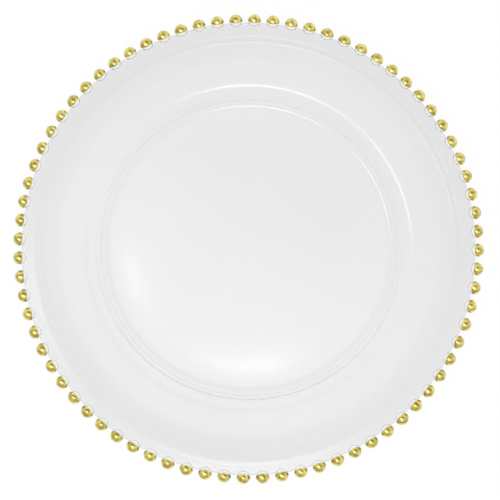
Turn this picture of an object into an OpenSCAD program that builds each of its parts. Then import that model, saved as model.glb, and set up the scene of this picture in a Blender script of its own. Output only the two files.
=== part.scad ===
// Round clear charger plate with a ring of gold-capped beads round its rim.
// Lengths are in millimetres. The plate stands on its foot ring at z = 0,
// with its axis on Z, and the first bead lies on +X.

/* [Sheet] */
// Thickness of the clear sheet, the same from the centre to the edge
sheet_t = 2.6; // [2:0.1:4]
// Height of the well floor's underside above the table
floor_lift = 1; // [0.6:0.1:3]

/* [Well] */
// Radius of the flat well floor
well_r = 92; // [60:0.5:120]
// Width of the well's border, between the flat floor and the foot of the wall
border_w = 9.8; // [8:0.1:20]
// How far the border rises from the flat floor
border_rise = 0.5; // [0.3:0.05:1.2]
// Width of the wall, seen from above
wall_w = 14.5; // [8:0.1:20]
// How far the wall rises
wall_rise = 8.6; // [3:0.1:10]

/* [Rim] */
// Width of the rim's inner half, which leans least
rim_w = 14.7; // [8:0.1:24]
// How far the rim's inner half rises
rim_rise = 1.6; // [0.8:0.1:3]
// Width of the rim's outer half, which turns up towards the lip
turn_w = 14.5; // [8:0.1:24]
// How far the rim's outer half rises
turn_rise = 2.6; // [1:0.1:4]
// Width of the lip, the step that runs round near the edge
lip_w = 5; // [4:0.1:10]
// How far the lip rises
lip_rise = 3.1; // [1.5:0.1:4]
// Width of the brim, between the lip and the plate's edge
brim_w = 8.5; // [5:0.1:12]
// How far the brim rises
brim_rise = 0.95; // [0.2:0.05:1.5]

/* [Bends] */
// Radius of the bend where the flat floor meets its border
floor_bend_r = 200; // [60:5:240]
// Radius of the bends at the foot and the top of the wall
wall_bend_r = 10; // [5:0.5:14]
// Radius of the bend where the rim turns up
turn_bend_r = 120; // [40:5:160]
// Radius of the bends at the foot and the top of the lip
lip_bend_r = 4; // [3:0.5:8]

/* [Foot] */
// How far the middle of the foot ring stands outside the foot of the wall
foot_out = 6.8; // [3:0.1:8]
// Width of the foot ring's sole
foot_w = 2.4; // [2:0.1:5]
// How much each side of the foot ring leans out towards the sheet
foot_draft = 0.6; // [0.4:0.1:2]
// Radius of the sole's two edges
foot_round = 0.4; // [0.3:0.1:1.2]

/* [Beads] */
// Diameter of a bead, across its gold
bead_d = 9; // [7:0.1:12]
// Least gap between two beads, which sets how many go round
bead_gap = 4.2; // [1:0.1:8]
// How far a bead's centre stands outside the plate's edge
bead_out = 1.5; // [0.6:0.1:2.5]
// Bond line between a bead and its socket in the plate's edge
bond_t = 0.05; // [0.02:0.01:0.1]

/* [Gold] */
// Thickness of the gold cap
gold_t = 0.2; // [0.1:0.05:0.4]
// Angle by which a cap's middle is turned up from straight out
cap_tilt = 40; // [25:1:55]

/* [Hidden] */

clear_colour = [0.92, 0.94, 0.95, 0.4];
bead_colour = [0.86, 0.88, 0.92, 0.6];
gold_colour = [0.82, 0.71, 0.33];

ring_facets = 180;
bead_facets = 48;
bend_steps = 5;
edge_steps = 8;
// How far a cutting block runs past what it cuts
overrun = 1;

half_t = sheet_t / 2;
floor_z = floor_lift + half_t;
border_r = well_r + border_w;
shoulder_r = border_r + wall_w;
turn_r = shoulder_r + rim_w;
lip_in_r = turn_r + turn_w;
lip_out_r = lip_in_r + lip_w;
plate_r = lip_out_r + brim_w;
border_z = floor_z + border_rise;
shoulder_z = border_z + wall_rise;
turn_z = shoulder_z + rim_rise;
lip_in_z = turn_z + turn_rise;
lip_out_z = lip_in_z + lip_rise;
edge_z = lip_out_z + brim_rise;
foot_r = border_r + foot_out;

bead_r = bead_d / 2;
core_r = bead_r - gold_t;
bead_ring_r = plate_r + bead_out;
bead_count = floor(2 * PI * bead_ring_r / (bead_d + bead_gap));
bead_step = 360 / bead_count;

// The middle of the sheet, as [radius, height] where its slope changes
middle = [
    [0, floor_z],
    [well_r, floor_z],
    [border_r, border_z],
    [shoulder_r, shoulder_z],
    [turn_r, turn_z],
    [lip_in_r, lip_in_z],
    [lip_out_r, lip_out_z],
    [plate_r - half_t, edge_z]
];
// Bend radius at each slope change between the first and the last point
bend_radii = [floor_bend_r, wall_bend_r, wall_bend_r, turn_bend_r, lip_bend_r, lip_bend_r];

function heading(a, b) = atan2(b[1] - a[1], b[0] - a[0]);

// Unit vector square to a line that runs at this angle, on its left
function left_of(angle) = [-sin(angle), cos(angle)];

// Point at a distance from a, on the way to b
function toward(a, b, distance) = a + distance * (b - a) / norm(b - a);

// Arc of radius r in the corner at b, moved to the left by an offset
function bend(a, b, c, r, offset) =
    let (
        start_angle = heading(a, b),
        turn = heading(b, c) - start_angle,
        side = sign(turn),
        start = toward(b, a, r * tan(abs(turn) / 2)),
        centre = start + side * r * left_of(start_angle)
    )
    [for (k = [0:bend_steps]) centre - (side * r - offset) * left_of(start_angle + turn * k / bend_steps)];

// One face of the sheet, from the axis to the last bend
function face(offset) = [
    middle[0] + offset * left_of(0),
    for (i = [0:len(bend_radii) - 1])
        each bend(middle[i], middle[i + 1], middle[i + 2], bend_radii[i], offset)
];

// Half circle that closes the sheet at its edge, from the underside up
function edge_arc() =
    let (
        last = len(middle) - 1,
        out = heading(middle[last - 1], middle[last])
    )
    [for (k = [0:edge_steps]) middle[last] - half_t * left_of(out + 180 * k / edge_steps)];

function reversed(list) = [for (i = [len(list) - 1:-1:0]) list[i]];

// Outline of the sheet, cut from its axis to its edge
function sheet_outline() = concat(face(-half_t), edge_arc(), reversed(face(half_t)));

// Height of the sheet's middle at a radius
function middle_z(r) = lookup(r, middle);

// Outline of the foot ring, from its sole up into the sheet
function foot_outline() =
    let (
        sole_in = [foot_r - foot_w / 2, 0],
        sole_out = [foot_r + foot_w / 2, 0],
        top_in_r = sole_in[0] - foot_draft,
        top_out_r = sole_out[0] + foot_draft,
        top_in = [top_in_r, middle_z(top_in_r)],
        top_out = [top_out_r, middle_z(top_out_r)]
    )
    concat(
        [top_in],
        bend(top_in, sole_in, sole_out, foot_round, 0),
        bend(sole_in, sole_out, top_out, foot_round, 0),
        [top_out]
    );

// One copy of its child at each bead's centre
module at_beads() {
    for (k = [0:bead_count - 1])
        rotate([0, 0, k * bead_step])
            translate([bead_ring_r, 0, edge_z])
                children();
}

// Block that holds only what lies on a cap's side of the bead's centre
module cap_side() {
    reach = bead_r + overrun;
    rotate([0, -cap_tilt, 0])
        translate([0, -reach, -reach])
            cube([reach, 2 * reach, 2 * reach]);
}

// Clear plate with its foot ring, and a socket for each bead in its edge
module clear_plate() {
    color(clear_colour)
        difference() {
            union() {
                rotate_extrude($fn = ring_facets)
                    polygon(sheet_outline());
                rotate_extrude($fn = ring_facets)
                    polygon(foot_outline());
            }
            at_beads()
                sphere(r = core_r + bond_t, $fn = bead_facets);
        }
}

// Clear balls that sit in the sockets
module rim_beads() {
    color(bead_colour)
        at_beads()
            sphere(r = core_r, $fn = bead_facets);
}

// Gold half shells on the outer upper half of each ball
module gold_caps() {
    color(gold_colour)
        at_beads()
            intersection() {
                difference() {
                    sphere(r = bead_r, $fn = bead_facets);
                    sphere(r = core_r, $fn = bead_facets);
                }
                cap_side();
            }
}

clear_plate();
rim_beads();
gold_caps();
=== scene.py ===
"""Looks of the clear charger plate: a turned sheet with a foot ring, clear beads in its edge and gold caps.

Lengths are in metres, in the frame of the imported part. Sizes are written in millimetres times MM.
"""

import math

import bpy
import numpy as np
from mathutils import Matrix, Vector


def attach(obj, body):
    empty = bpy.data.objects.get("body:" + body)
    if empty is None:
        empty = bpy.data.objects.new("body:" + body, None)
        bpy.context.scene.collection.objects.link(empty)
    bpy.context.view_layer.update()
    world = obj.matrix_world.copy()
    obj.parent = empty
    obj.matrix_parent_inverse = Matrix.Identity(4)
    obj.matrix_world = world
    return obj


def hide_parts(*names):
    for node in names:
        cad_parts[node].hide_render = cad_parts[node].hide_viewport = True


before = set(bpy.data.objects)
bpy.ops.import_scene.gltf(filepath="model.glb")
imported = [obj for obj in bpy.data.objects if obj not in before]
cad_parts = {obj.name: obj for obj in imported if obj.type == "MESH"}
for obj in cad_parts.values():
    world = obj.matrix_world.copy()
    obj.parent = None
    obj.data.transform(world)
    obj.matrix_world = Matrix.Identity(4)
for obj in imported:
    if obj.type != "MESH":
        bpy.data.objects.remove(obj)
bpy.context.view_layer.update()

MM = 0.001

# Sheet
SHEET_T = 2.6 * MM
FLOOR_LIFT = 1.0 * MM
WELL_R = 92.0 * MM
BORDER_W = 9.8 * MM
BORDER_RISE = 0.5 * MM
WALL_W = 14.5 * MM
WALL_RISE = 8.6 * MM
RIM_W = 14.7 * MM
RIM_RISE = 1.6 * MM
TURN_W = 14.5 * MM
TURN_RISE = 2.6 * MM
LIP_W = 5.0 * MM
LIP_RISE = 3.1 * MM
BRIM_W = 8.5 * MM
BRIM_RISE = 0.95 * MM
# The wall and the lip start a little further out than their edges in the plain outline
WALL_START_OUT = 0.5 * MM
LIP_START_OUT = 0.6 * MM
# The brim leans less by the lip than towards the beads.
# Its corners are given as steps out and up from the lip's outer edge
BRIM_START = (-1.2 * MM, -0.02 * MM)
BRIM_TURN = (2.4 * MM, 0.35 * MM)
FLOOR_BEND_R = 200.0 * MM
WALL_FOOT_BEND_R = 6.5 * MM
WALL_TOP_BEND_R = 10.0 * MM
TURN_BEND_R = 120.0 * MM
LIP_FOOT_BEND_R = 4.0 * MM
LIP_TOP_BEND_R = 1.7 * MM
BRIM_BEND_R = 20.0 * MM

# Foot ring
FOOT_OUT = 6.8 * MM
FOOT_W = 2.4 * MM
FOOT_DRAFT = 0.6 * MM
FOOT_ROUND = 0.4 * MM
FOOT_ROUND_STEPS = 3
FOOT_ROOT = 0.4 * MM
FOOT_ROOT_STEPS = 5
# What stands lower than this above the sheet's plain underside belongs to the foot
FOOT_SLACK = 0.05 * MM

# Beads and gold
BEAD_COUNT = 76
BEAD_R = 4.5 * MM
BEAD_OUT = 1.5 * MM
BOND_T = 0.05 * MM
GOLD_T = 0.2 * MM
GOLD_BITE = 0.03 * MM
# The gold runs out into a point on each side of a bead, where it fills the corner between bead and plate
GOLD_POINT = 0.35 * MM
GOLD_POINT_POWER = 6
CAP_TILT = math.radians(40)

HALF_T = SHEET_T / 2
CORE_R = BEAD_R - GOLD_T
BORDER_R = WELL_R + BORDER_W
SHOULDER_R = BORDER_R + WALL_W
TURN_R = SHOULDER_R + RIM_W
LIP_IN_R = TURN_R + TURN_W
LIP_OUT_R = LIP_IN_R + LIP_W
PLATE_R = LIP_OUT_R + BRIM_W
BEAD_RING_R = PLATE_R + BEAD_OUT
FLOOR_Z = FLOOR_LIFT + HALF_T
BORDER_Z = FLOOR_Z + BORDER_RISE
SHOULDER_Z = BORDER_Z + WALL_RISE
TURN_Z = SHOULDER_Z + RIM_RISE
LIP_IN_Z = TURN_Z + TURN_RISE
LIP_OUT_Z = LIP_IN_Z + LIP_RISE
EDGE_Z = LIP_OUT_Z + BRIM_RISE
FOOT_R = BORDER_R + FOOT_OUT
BEAD_PITCH = 2 * math.pi / BEAD_COUNT
# The middle of the sheet, as radius and height where its slope changes
MIDDLE = (
    (0.0, FLOOR_Z),
    (WELL_R, FLOOR_Z),
    (BORDER_R + WALL_START_OUT, BORDER_Z + WALL_START_OUT * BORDER_RISE / BORDER_W),
    (SHOULDER_R, SHOULDER_Z),
    (TURN_R, TURN_Z),
    (LIP_IN_R + LIP_START_OUT, LIP_IN_Z + LIP_START_OUT * TURN_RISE / TURN_W),
    (LIP_OUT_R + BRIM_START[0], LIP_OUT_Z + BRIM_START[1]),
    (LIP_OUT_R + BRIM_TURN[0], LIP_OUT_Z + BRIM_TURN[1]),
    (PLATE_R - HALF_T, EDGE_Z),
)
# Radius and number of steps of the bend at each slope change between the first and the last point
BENDS = (
    (FLOOR_BEND_R, 8),
    (WALL_FOOT_BEND_R, 8),
    (WALL_TOP_BEND_R, 7),
    (TURN_BEND_R, 4),
    (LIP_FOOT_BEND_R, 7),
    (LIP_TOP_BEND_R, 7),
    (BRIM_BEND_R, 3),
)


# Outline of the sheet
def heading(a, b):
    """Angle of the way from a to b."""
    return math.atan2(b[1] - a[1], b[0] - a[0])


def left_of(angle):
    """Unit vector square to a line that runs at this angle, on its left."""
    return np.array([-math.sin(angle), math.cos(angle)])


def bend(a, b, c, radius, steps, offset=0.0):
    """Points of the arc that rounds the corner at b, moved to the left by an offset."""
    a, b, c = (np.array(p, float) for p in (a, b, c))
    start_angle = heading(a, b)
    turn = heading(b, c) - start_angle
    side = math.copysign(1.0, turn)
    start = b + radius * math.tan(abs(turn) / 2) * (a - b) / np.linalg.norm(a - b)
    centre = start + side * radius * left_of(start_angle)
    arm = side * radius - offset
    return [centre - arm * left_of(start_angle + turn * k / steps) for k in range(steps + 1)]


def face(offset):
    """One face of the sheet, from the axis to the last bend."""
    points = [np.array(MIDDLE[0]) + offset * left_of(0)]
    for i, (radius, steps) in enumerate(BENDS):
        points += bend(MIDDLE[i], MIDDLE[i + 1], MIDDLE[i + 2], radius, steps, offset)
    return points


def height_on(points, radius):
    """Height of a line of points at a radius."""
    return float(np.interp(radius, [p[0] for p in points], [p[1] for p in points]))


def underside():
    """The lower face from the axis outwards, with the foot ring let into it."""
    lower = face(-HALF_T)
    root_in = FOOT_R - FOOT_W / 2 - FOOT_DRAFT
    root_out = FOOT_R + FOOT_W / 2 + FOOT_DRAFT
    sole_in = (FOOT_R - FOOT_W / 2, 0.0)
    sole_out = (FOOT_R + FOOT_W / 2, 0.0)
    top_in = (root_in, height_on(lower, root_in))
    top_out = (root_out, height_on(lower, root_out))
    reach = 2 * FOOT_ROOT
    before = [p for p in lower if p[0] < root_in - reach]
    after = [p for p in lower if p[0] > root_out + reach]
    foot = bend(before[-1], top_in, sole_in, FOOT_ROOT, FOOT_ROOT_STEPS)
    foot += bend(top_in, sole_in, sole_out, FOOT_ROUND, FOOT_ROUND_STEPS)
    foot += bend(sole_in, sole_out, top_out, FOOT_ROUND, FOOT_ROUND_STEPS)
    foot += bend(sole_out, top_out, after[0], FOOT_ROOT, FOOT_ROOT_STEPS)
    return before + foot + after


SHARP_ANGLE = math.radians(35)


def new_object(name, vertices, faces):
    """A mesh object with smooth faces, and sharp edges where it turns by more than the sharp angle."""
    mesh = bpy.data.meshes.new(name)
    mesh.from_pydata(np.asarray(vertices).tolist(), [], [list(f) for f in faces])
    mesh.polygons.foreach_set("use_smooth", [True] * len(mesh.polygons))
    mesh.set_sharp_from_angle(angle=SHARP_ANGLE)
    mesh.update()
    made = bpy.data.objects.new(name, mesh)
    bpy.context.scene.collection.objects.link(made)
    return made


# Clear sheet
SOCKET_R = CORE_R + BOND_T
# The rows that a socket can cut back start this far inside the deepest point of a socket
SOCKET_MARGIN = 0.3 * MM
SOCKET_START = BEAD_RING_R - SOCKET_R - SOCKET_MARGIN
SOCKET_COLUMNS = 7
GAP_COLUMNS = 2
BRIM_STEPS = 4
EDGE_STEPS = 10
# Rounds in which the radius and the height of a cut settle
CUT_ROUNDS = 4
# Radius that stands for no socket within reach, far outside the plate
NO_SOCKET = 1.0


def column_angles():
    """Angles of the mesh's columns: close together across each socket, wider in the gaps."""
    cos_cut = (BEAD_RING_R ** 2 + PLATE_R ** 2 - SOCKET_R ** 2) / (2 * BEAD_RING_R * PLATE_R)
    cut = math.acos(cos_cut)
    inside = np.linspace(-cut, cut, SOCKET_COLUMNS)
    outside = np.linspace(cut, BEAD_PITCH - cut, GAP_COLUMNS + 2)[1:-1]
    one = np.concatenate([inside, outside])
    return np.concatenate([one + k * BEAD_PITCH for k in range(BEAD_COUNT)])


def socket_radius(angle, z):
    """Radius at which the nearest socket's ball cuts this height."""
    off = (angle + BEAD_PITCH / 2) % BEAD_PITCH - BEAD_PITCH / 2
    room = SOCKET_R ** 2 - (z - EDGE_Z) ** 2 - (BEAD_RING_R * math.sin(off)) ** 2
    if room <= 0:
        return NO_SOCKET
    return BEAD_RING_R * math.cos(off) - math.sqrt(room)


def edge_column(angle, upper, lower):
    """The sheet's edge at one angle, from the underside up, cut back where a socket is."""
    slope = heading(MIDDLE[-2], MIDDLE[-1])
    end = np.array(MIDDLE[-1])

    def cut_at(points, plain_r):
        radius = plain_r
        for _ in range(CUT_ROUNDS):
            radius = min(plain_r, socket_radius(angle, height_on(points, radius)))
        return radius

    low_plain = end - HALF_T * left_of(slope)
    high_plain = end + HALF_T * left_of(slope)
    low_line = [lower[-1], low_plain]
    high_line = [upper[-1], high_plain]
    low_r = cut_at(low_line, low_plain[0])
    high_r = cut_at(high_line, high_plain[0])
    is_cut = low_r < low_plain[0]
    column = []
    for k in range(1, BRIM_STEPS + 1):
        radius = SOCKET_START + (low_r - SOCKET_START) * k / BRIM_STEPS
        column.append((radius, height_on(low_line, radius)))
    low_z, high_z = column[-1][1], height_on(high_line, high_r)
    for k in range(1, EDGE_STEPS):
        turn = math.pi * k / EDGE_STEPS
        plain_r, z = end - HALF_T * left_of(slope + turn)
        if is_cut:
            z = (low_z + high_z) / 2 - (high_z - low_z) / 2 * math.cos(turn)
            plain_r = end[0] + math.sqrt(max(HALF_T ** 2 - (z - end[1]) ** 2, 0))
        column.append((min(plain_r, socket_radius(angle, z)), z))
    for k in range(BRIM_STEPS, 0, -1):
        radius = SOCKET_START + (high_r - SOCKET_START) * k / BRIM_STEPS
        column.append((radius, height_on(high_line, radius)))
    return column


def foot_faces(vertices, faces):
    """True for each face whose corners all stand below the plain sheet, where only the foot ring is."""
    places = np.array(vertices)
    radius = np.hypot(places[:, 0], places[:, 1])
    plain = np.array(face(-HALF_T))
    level = np.interp(radius, plain[:, 0], plain[:, 1])
    half = FOOT_W / 2 + FOOT_DRAFT + FOOT_ROOT
    low = (np.abs(radius - FOOT_R) < half) & (places[:, 2] < level + FOOT_SLACK)
    return [bool(low[list(f)].all()) for f in faces]


def make_plate():
    """The sheet with its foot and sockets: one column of points at each angle, joined into faces."""
    upper, lower = face(HALF_T), underside()
    steepness = math.tan(heading(MIDDLE[-2], MIDDLE[-1]))

    def brim_point(last):
        """Where the rows that a socket can cut back start, on the brim beyond a face's last point."""
        return (SOCKET_START, last[1] + (SOCKET_START - last[0]) * steepness)

    inner_low = lower[1:] + [brim_point(lower[-1])]
    inner_high = [brim_point(upper[-1])] + upper[:0:-1]
    angles = column_angles()
    columns = [inner_low + edge_column(angle, upper, lower) + inner_high for angle in angles]
    vertices = [(0, 0, lower[0][1]), (0, 0, upper[0][1])]
    for angle, column in zip(angles, columns):
        vertices += [(r * math.cos(angle), r * math.sin(angle), z) for r, z in column]
    rows, count = len(columns[0]), len(columns)
    faces = []
    for i in range(count):
        here, there = 2 + i * rows, 2 + (i + 1) % count * rows
        faces.append((0, there, here))
        for j in range(rows - 1):
            faces.append((here + j, there + j, there + j + 1, here + j + 1))
        faces.append((1, here + rows - 1, there + rows - 1))
    made = new_object("plate_sheet", vertices, faces)
    made.data.polygons.foreach_set("material_index", foot_faces(vertices, faces))
    return made


# Beads and caps
BALL_RINGS = 16
BALL_SIDES = 36
CAP_RINGS = 11
CAP_SIDES = 40
CAP_LIP_STEPS = 4
# How far a cap's lip bulges, as a share of half the cap's thickness
CAP_LIP_BULGE = 0.5


def repeated(vertices, faces):
    """One copy of a shape at each bead's centre."""
    all_vertices, all_faces = [], []
    for k in range(BEAD_COUNT):
        turn = Matrix.Rotation(k * BEAD_PITCH, 4, "Z")
        place = turn @ Matrix.Translation((BEAD_RING_R, 0, EDGE_Z))
        base = len(all_vertices)
        all_vertices += [tuple(place @ Vector(v)) for v in vertices]
        all_faces += [tuple(base + i for i in f) for f in faces]
    return all_vertices, all_faces


def ball():
    """A ball of rings, from its top point down to its bottom one."""
    vertices, faces = [(0, 0, CORE_R)], []
    for a in np.linspace(0, math.pi, BALL_RINGS + 1)[1:-1]:
        ring_r, z = CORE_R * math.sin(a), CORE_R * math.cos(a)
        for b in np.linspace(0, 2 * math.pi, BALL_SIDES, endpoint=False):
            vertices.append((ring_r * math.cos(b), ring_r * math.sin(b), z))
    vertices.append((0, 0, -CORE_R))
    last = 1 + (BALL_RINGS - 2) * BALL_SIDES
    for i in range(BALL_SIDES):
        n = (i + 1) % BALL_SIDES
        faces.append((0, 1 + i, 1 + n))
        for row in range(1, last, BALL_SIDES):
            below = row + BALL_SIDES
            faces.append((row + i, below + i, below + n, row + n))
        faces.append((last + i, len(vertices) - 1, last + n))
    return vertices, faces


def cap_outline(inner_r):
    """Half of a cap's cut face: from its pole along the outer arc, round the lip and back inside."""
    half = (BEAD_R - inner_r) / 2
    outline = [(BEAD_R * math.cos(a), BEAD_R * math.sin(a)) for a in np.linspace(0, math.pi / 2, CAP_RINGS)]
    for k in range(1, CAP_LIP_STEPS):
        a = math.pi * k / CAP_LIP_STEPS
        outline.append((-half * math.sin(a) * CAP_LIP_BULGE, inner_r + half + half * math.cos(a)))
    inner = [(inner_r * math.cos(a), inner_r * math.sin(a)) for a in np.linspace(math.pi / 2, 0, CAP_RINGS)]
    return outline + inner


def cap_shell():
    """A half shell with a rounded lip and a point at each side, that opens towards -X before its tilt."""
    inner_r = CORE_R - GOLD_BITE
    tilt = Matrix.Rotation(-CAP_TILT, 4, "Y")

    def placed(x, y, z):
        is_outer = math.hypot(x, y, z) > (inner_r + BEAD_R) / 2
        push = GOLD_POINT * (abs(y) / BEAD_R) ** GOLD_POINT_POWER if is_outer else 0.0
        return tuple(tilt @ Vector((x, y + math.copysign(push, y), z)))

    outline = cap_outline(inner_r)
    body = outline[1:-1]
    rows = len(body)
    vertices = [placed(outline[0][0], 0, 0), placed(outline[-1][0], 0, 0)]
    faces = []
    for i in range(CAP_SIDES):
        b = 2 * math.pi * i / CAP_SIDES
        vertices += [placed(x, r * math.cos(b), r * math.sin(b)) for x, r in body]
        here, there = 2 + i * rows, 2 + (i + 1) % CAP_SIDES * rows
        faces.append((0, here, there))
        faces += [(here + j, here + j + 1, there + j + 1, there + j) for j in range(rows - 1)]
        faces.append((1, there + rows - 1, here + rows - 1))
    return vertices, faces


# Shader nodes
NOISE_DETAIL = 3.0


def material(name):
    made = bpy.data.materials.new(name)
    made.use_nodes = True
    tree = made.node_tree
    return made, tree, tree.nodes["Principled BSDF"]


def object_place(tree):
    return tree.nodes.new("ShaderNodeTexCoord").outputs["Object"]


def noise(tree, scale):
    """Soft noise from 0 to 1, with about this many patches to a metre."""
    made = tree.nodes.new("ShaderNodeTexNoise")
    made.inputs["Scale"].default_value = scale
    made.inputs["Detail"].default_value = NOISE_DETAIL
    tree.links.new(object_place(tree), made.inputs["Vector"])
    return made.outputs["Fac"]


def ramp(tree, factor, stops):
    """A colour that follows the factor from stop to stop, each a position and a colour."""
    made = tree.nodes.new("ShaderNodeValToRGB")
    elements = made.color_ramp.elements
    while len(elements) < len(stops):
        # Any place will do, since each stop gets its own below
        elements.new(0.5)
    for element, (position, colour) in zip(elements, stops):
        element.position = position
        element.color = (*colour, 1)
    tree.links.new(factor, made.inputs["Fac"])
    return made.outputs["Color"]


def levels(tree, factor, stops):
    """A grey that follows the factor from stop to stop, each a position and a level."""
    return ramp(tree, factor, [(position, (level, level, level)) for position, level in stops])


def spread(tree, factor, low, high):
    """The factor from 0 to 1 mapped to a range."""
    made = tree.nodes.new("ShaderNodeMapRange")
    made.inputs["To Min"].default_value = low
    made.inputs["To Max"].default_value = high
    tree.links.new(factor, made.inputs["Value"])
    return made.outputs["Result"]


def smooth_step(tree, value, start, end, low=0.0, high=1.0):
    """Goes softly from low to high as the value goes from start to end."""
    made = tree.nodes.new("ShaderNodeMapRange")
    made.interpolation_type = "SMOOTHSTEP"
    for name, limit in (("From Min", start), ("From Max", end), ("To Min", low), ("To Max", high)):
        made.inputs[name].default_value = limit
    tree.links.new(value, made.inputs["Value"])
    return made.outputs["Result"]


def maths(tree, operation, first, second):
    """One sum on an output of a node and either a number or another output."""
    made = tree.nodes.new("ShaderNodeMath")
    made.operation = operation
    tree.links.new(first, made.inputs[0])
    if isinstance(second, float):
        made.inputs[1].default_value = second
    else:
        tree.links.new(second, made.inputs[1])
    return made.outputs["Value"]


def vector_maths(tree, operation, place, fixed):
    """The node of one sum on a place and a fixed vector."""
    made = tree.nodes.new("ShaderNodeVectorMath")
    made.operation = operation
    made.inputs[1].default_value = fixed
    tree.links.new(place, made.inputs[0])
    return made


def bump(tree, height, strength, distance):
    made = tree.nodes.new("ShaderNodeBump")
    made.inputs["Strength"].default_value = strength
    made.inputs["Distance"].default_value = distance
    tree.links.new(height, made.inputs["Height"])
    return made.outputs["Normal"]


# Clear acrylic. Patches are those of a noise, counted to a metre
TINT_PATCHES = 9
# Levels of the noise at which the tint is at its low and at its high colour
TINT_LEVELS = (0.3, 0.7)
GLOSS_PATCHES = 60
WAVE_PATCHES = 25
WAVE_HEIGHT = 0.2 * MM
ACRYLIC_INDEX = 1.49
# The foot bends light less than acrylic does, so that it shows as a faint line only
FOOT_INDEX = 1.1
# Painted shade: the sheet darkens in steps from the well out to the brim, with a slight dip at the foot of
# the wall, for the shade under the raised rim
SHEET_PAINTED_SHADE = (
    (0, 1.0),
    (98 * MM, 1.0),
    (100.5 * MM, 0.985),
    (102 * MM, 0.97),
    (103.4 * MM, 0.97),
    (105 * MM, 0.985),
    (107 * MM, 0.993),
    (115 * MM, 0.987),
    (131 * MM, 0.98),
    (138 * MM, 0.95),
    (143 * MM, 0.94),
    (147 * MM, 0.92),
    (158 * MM, 0.92),
)


def painted_shade_by_radius(tree, colour, stops):
    """The colour times a share that follows the distance from the plate's axis, as painted shade."""
    flat = vector_maths(tree, "MULTIPLY", object_place(tree), (1 / PLATE_R, 1 / PLATE_R, 0))
    far = tree.nodes.new("ShaderNodeVectorMath")
    far.operation = "LENGTH"
    tree.links.new(flat.outputs["Vector"], far.inputs[0])
    share = levels(tree, far.outputs["Value"], [(radius / PLATE_R, level) for radius, level in stops])
    both = tree.nodes.new("ShaderNodeMix")
    both.data_type = "RGBA"
    both.blend_type = "MULTIPLY"
    both.inputs["Factor"].default_value = 1.0
    tree.links.new(colour, both.inputs["A"])
    tree.links.new(share, both.inputs["B"])
    return both.outputs["Result"]


def clear_material(name, low, high, rough, waves, index=ACRYLIC_INDEX, painted_shade=None):
    """Clear moulded acrylic: a pale colour that drifts a little, and faint waves in its surface. Painted
    shade by radius darkens it where it is given.
    """
    made, tree, shader = material(name)
    shader.inputs["Transmission Weight"].default_value = 1.0
    shader.inputs["IOR"].default_value = index
    colour = ramp(tree, noise(tree, TINT_PATCHES), ((TINT_LEVELS[0], low), (TINT_LEVELS[1], high)))
    # Painted shade that follows the distance from the axis
    if painted_shade:
        colour = painted_shade_by_radius(tree, colour, painted_shade)
    tree.links.new(colour, shader.inputs["Base Color"])
    tree.links.new(spread(tree, noise(tree, GLOSS_PATCHES), *rough), shader.inputs["Roughness"])
    tree.links.new(bump(tree, noise(tree, WAVE_PATCHES), waves, WAVE_HEIGHT), shader.inputs["Normal"])
    return made


# Gold
GOLD_PATCHES = 300
GOLD_COLOURS = ((0.38, (0.48, 0.35, 0.02)), (0.6, (0.8, 0.71, 0.15)))
GOLD_ROUGH_PATCHES = 500
GOLD_ROUGH = (0.08, 0.24)
# Above a real lacquer's index, for the gold's bright highlights
LACQUER_INDEX = 1.9
LACQUER_ROUGH_PATCHES = 700
LACQUER_ROUGH = (0.02, 0.1)
PEEL_PATCHES = 400
PEEL_STRENGTH = 0.25
PEEL_HEIGHT = 0.1 * MM


def gold_material(name):
    """Plated gold under clear lacquer: warm yellow with browner patches, and a faint orange-peel."""
    made, tree, shader = material(name)
    shader.inputs["Metallic"].default_value = 1.0
    shader.inputs["Coat Weight"].default_value = 1.0
    shader.inputs["Coat IOR"].default_value = LACQUER_INDEX
    colour = ramp(tree, noise(tree, GOLD_PATCHES), GOLD_COLOURS)
    tree.links.new(colour, shader.inputs["Base Color"])
    roughness = spread(tree, noise(tree, GOLD_ROUGH_PATCHES), *GOLD_ROUGH)
    tree.links.new(roughness, shader.inputs["Roughness"])
    coat_roughness = spread(tree, noise(tree, LACQUER_ROUGH_PATCHES), *LACQUER_ROUGH)
    tree.links.new(coat_roughness, shader.inputs["Coat Roughness"])
    peel = bump(tree, noise(tree, PEEL_PATCHES), PEEL_STRENGTH, PEEL_HEIGHT)
    tree.links.new(peel, shader.inputs["Normal"])
    return made


# Pieces
def wear(piece, *made):
    for one in made:
        piece.data.materials.append(one)


plate = make_plate()
sheet_acrylic = clear_material(
    "clear_sheet_acrylic",
    # A faint real tint, deepened into painted shade for the floor's shadow under the plate
    low=(0.888, 0.891, 0.891),
    high=(0.908, 0.908, 0.908),
    rough=(0.12, 0.17),
    waves=0.02,
    # Painted shade, darker towards the brim
    painted_shade=SHEET_PAINTED_SHADE,
)
foot_acrylic = clear_material(
    "clear_foot_acrylic",
    # Darker than the sheet: painted shade for the dark band round the foot
    low=(0.85, 0.85, 0.855),
    high=(0.88, 0.88, 0.88),
    rough=(0.03, 0.07),
    waves=0.002,
    index=FOOT_INDEX,
)
wear(plate, sheet_acrylic, foot_acrylic)
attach(plate, "root")
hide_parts("clear_plate")

beads = new_object("clear_balls", *repeated(*ball()))
bead_acrylic = clear_material(
    "clear_bead_acrylic",
    low=(0.9, 0.9, 0.93),
    high=(0.93, 0.93, 0.95),
    rough=(0.02, 0.06),
    waves=0.02,
)
wear(beads, bead_acrylic)
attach(beads, "root")
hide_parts("rim_beads")

caps = new_object("gold_shells", *repeated(*cap_shell()))
wear(caps, gold_material("gold_plating"))
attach(caps, "root")
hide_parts("gold_caps")


# Floor, world and lamps
# Direction from the plate's axis to the side where the lamps hang
LAMP_SIDE = (-0.45, -0.89, 0.0)
WHITE = (1, 1, 1, 1)

FLOOR_HALF = 3.0
# The floor lies this far under the sole, so that the two faces don't fall together
FLOOR_GAP = 0.05 * MM
FLOOR_COLOUR = (0.97, 0.97, 0.97, 1)
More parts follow.
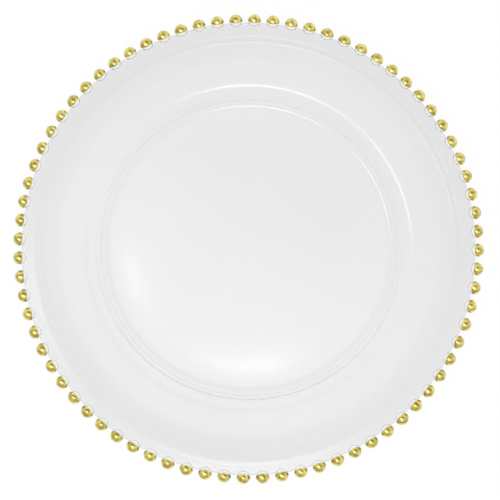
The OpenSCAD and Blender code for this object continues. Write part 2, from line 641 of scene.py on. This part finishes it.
# Share of the floor that glows evenly to these rays. The rest is matte, and takes the shadow
FLOOR_GLOW = 0.9
FLOOR_GLOW_RAYS = ("Is Camera Ray", "Is Glossy Ray", "Is Transmission Ray")
# Painted shadow: seen through the plate, the glow rises from this share to 1 between these distances
# towards the lamps
PAINTED_SHADOW_LEVEL = 0.962
FLOOR_RISE = (-70 * MM, 60 * MM)

# Levels of the dome, by how far a direction leans to the lamps' side, plus the shift
LEAN_SHIFT = 0.25
DOME_OVERHEAD = ((0, 0.4), (0.09, 0.78), (0.18, 0.88), (0.31, 0.95), (0.37, 1.1))
DOME_LOW_DOWN = ((0, 1.0), (0.8, 0.6))
# Share of the overhead levels, by the height of a direction
DOME_HEIGHT = ((0.55, 0.0), (0.85, 1.0))
# Share of plain white that each kind of ray meets in place of the dome
DOME_WHITE = (("Is Camera Ray", 1.0), ("Is Diffuse Ray", 1.0), ("Is Transmission Ray", 0.5))

LAMP_Z = 0.61
LAMP_FADE = 0.039
# Name, reach in X, reach in Y and radiance of each lamp
LAMPS = (
    ("softbox_front", (-0.165, 0.09), (-0.34, -0.103), 3.6),
    ("softbox_left", (-0.37, -0.139), (-0.15, 0.065), 3.1),
)


def ray_share(tree, shares):
    """The largest of the shares given to the kinds of ray that this ray is."""
    path = tree.nodes.new("ShaderNodeLightPath")
    total = None
    for name, share in shares:
        times = maths(tree, "MULTIPLY", path.outputs[name], share)
        total = times if total is None else maths(tree, "MAXIMUM", total, times)
    return total


def glow_with_painted_shadow(tree):
    """1 to most rays. Seen through the plate, a little less on the side away from the lamps, as a painted
    shadow.
    """
    lean = vector_maths(tree, "DOT_PRODUCT", object_place(tree), LAMP_SIDE)
    risen = smooth_step(tree, lean.outputs["Value"], *FLOOR_RISE, low=PAINTED_SHADOW_LEVEL)
    path = tree.nodes.new("ShaderNodeLightPath")
    strength = tree.nodes.new("ShaderNodeMix")
    strength.inputs["A"].default_value = 1.0
    tree.links.new(path.outputs["Is Transmission Ray"], strength.inputs["Factor"])
    tree.links.new(risen, strength.inputs["B"])
    return strength.outputs["Result"]


def make_floor():
    """A white floor that shows as the white background, with a faint shadow: partly real, from its matte
    share, and partly painted.
    """
    corners = ((-1, -1), (1, -1), (1, 1), (-1, 1))
    vertices = [(x * FLOOR_HALF, y * FLOOR_HALF, -FLOOR_GAP) for x, y in corners]
    made = new_object("floor", vertices, [(0, 1, 2, 3)])
    mat, tree, shader = material("white_floor")
    tree.nodes.remove(shader)
    matte = tree.nodes.new("ShaderNodeBsdfDiffuse")
    matte.inputs["Color"].default_value = FLOOR_COLOUR
    glow = tree.nodes.new("ShaderNodeEmission")
    glow.inputs["Color"].default_value = WHITE
    tree.links.new(glow_with_painted_shadow(tree), glow.inputs["Strength"])
    mix = tree.nodes.new("ShaderNodeMixShader")
    seen = ray_share(tree, [(name, FLOOR_GLOW) for name in FLOOR_GLOW_RAYS])
    tree.links.new(seen, mix.inputs["Fac"])
    tree.links.new(matte.outputs["BSDF"], mix.inputs[1])
    tree.links.new(glow.outputs["Emission"], mix.inputs[2])
    tree.links.new(mix.outputs["Shader"], tree.nodes["Material Output"].inputs["Surface"])
    wear(made, mat)


def make_world():
    """White to the camera. What the plate mirrors is a studio dome.

    Towards the lamps the dome is lighter overhead and darker low down.
    """
    world = bpy.data.worlds.new("studio")
    bpy.context.scene.world = world
    world.use_nodes = True
    tree = world.node_tree
    direction = tree.nodes.new("ShaderNodeTexCoord").outputs["Generated"]
    lean = vector_maths(tree, "DOT_PRODUCT", direction, LAMP_SIDE)
    shifted = maths(tree, "ADD", lean.outputs["Value"], LEAN_SHIFT)
    parts = tree.nodes.new("ShaderNodeSeparateXYZ")
    tree.links.new(direction, parts.inputs["Vector"])
    both = tree.nodes.new("ShaderNodeMix")
    both.data_type = "RGBA"
    tree.links.new(levels(tree, parts.outputs["Z"], DOME_HEIGHT), both.inputs["Factor"])
    tree.links.new(levels(tree, shifted, DOME_LOW_DOWN), both.inputs["A"])
    tree.links.new(levels(tree, shifted, DOME_OVERHEAD), both.inputs["B"])
    dome = tree.nodes["Background"]
    tree.links.new(both.outputs["Result"], dome.inputs["Color"])
    dome.inputs["Strength"].default_value = 1.0
    white = tree.nodes.new("ShaderNodeBackground")
    white.inputs["Color"].default_value = WHITE
    mix = tree.nodes.new("ShaderNodeMixShader")
    tree.links.new(ray_share(tree, DOME_WHITE), mix.inputs["Fac"])
    tree.links.new(dome.outputs["Background"], mix.inputs[1])
    tree.links.new(white.outputs["Background"], mix.inputs[2])
    tree.links.new(mix.outputs["Shader"], tree.nodes["World Output"].inputs["Surface"])


def softbox(name, x_range, y_range, radiance):
    """A lamp that hangs level over the plate, and fades towards its edges as cloth over a frame does."""
    width, depth = x_range[1] - x_range[0], y_range[1] - y_range[0]
    data = bpy.data.lights.new(name, "AREA")
    data.shape = "RECTANGLE"
    data.size = width
    data.size_y = depth
    data.energy = radiance * math.pi * width * depth
    made = bpy.data.objects.new(name, data)
    made.location = (sum(x_range) / 2, sum(y_range) / 2, LAMP_Z)
    bpy.context.scene.collection.objects.link(made)
    data.use_nodes = True
    tree = data.node_tree
    where = tree.nodes.new("ShaderNodeNewGeometry")
    parts = tree.nodes.new("ShaderNodeSeparateXYZ")
    tree.links.new(where.outputs["Parametric"], parts.inputs["Vector"])
    level = None
    for axis, length in (("X", width), ("Y", depth)):
        edge = LAMP_FADE / length
        for start, end in ((0.0, edge), (1.0, 1.0 - edge)):
            fade = smooth_step(tree, parts.outputs[axis], start, end)
            level = fade if level is None else maths(tree, "MULTIPLY", level, fade)
    tree.links.new(level, tree.nodes["Emission"].inputs["Strength"])


make_floor()
make_world()
for lamp in LAMPS:
    softbox(*lamp)


# Camera
CAMERA_DISTANCE = 600 * MM
CAMERA_TILT = math.radians(4.11)
CAMERA_AZIMUTH = math.radians(-9.25)
CAMERA_ROLL = math.radians(-3.36)
CAMERA_AIM = Vector((0.455 * MM, -3.84 * MM, EDGE_Z))
CLIP_START = 0.01
CLIP_END = 20
# The lens's focal length and the photograph's width, both in pixels
LENS_PIXELS = 856.5
PHOTO_WIDTH = 500
SENSOR_WIDTH = 36


def make_camera():
    """The photograph's viewpoint: nearly straight down, from the plate's front."""
    data = bpy.data.cameras.new("camera")
    made = bpy.data.objects.new("camera", data)
    bpy.context.scene.collection.objects.link(made)
    bpy.context.scene.camera = made
    data.sensor_width = SENSOR_WIDTH
    data.lens = LENS_PIXELS * SENSOR_WIDTH / PHOTO_WIDTH
    data.clip_start = CLIP_START
    data.clip_end = CLIP_END
    back = Vector((
        math.sin(CAMERA_TILT) * math.sin(CAMERA_AZIMUTH),
        -math.sin(CAMERA_TILT) * math.cos(CAMERA_AZIMUTH),
        math.cos(CAMERA_TILT),
    ))
    top = Vector((-math.sin(CAMERA_ROLL), math.cos(CAMERA_ROLL), 0))
    right = top.cross(back).normalized()
    up = back.cross(right)
    turn = Matrix((right, up, back)).transposed().to_4x4()
    made.matrix_world = Matrix.Translation(CAMERA_AIM + CAMERA_DISTANCE * back) @ turn


make_camera()
bpy.context.scene.view_settings.view_transform = "Standard"
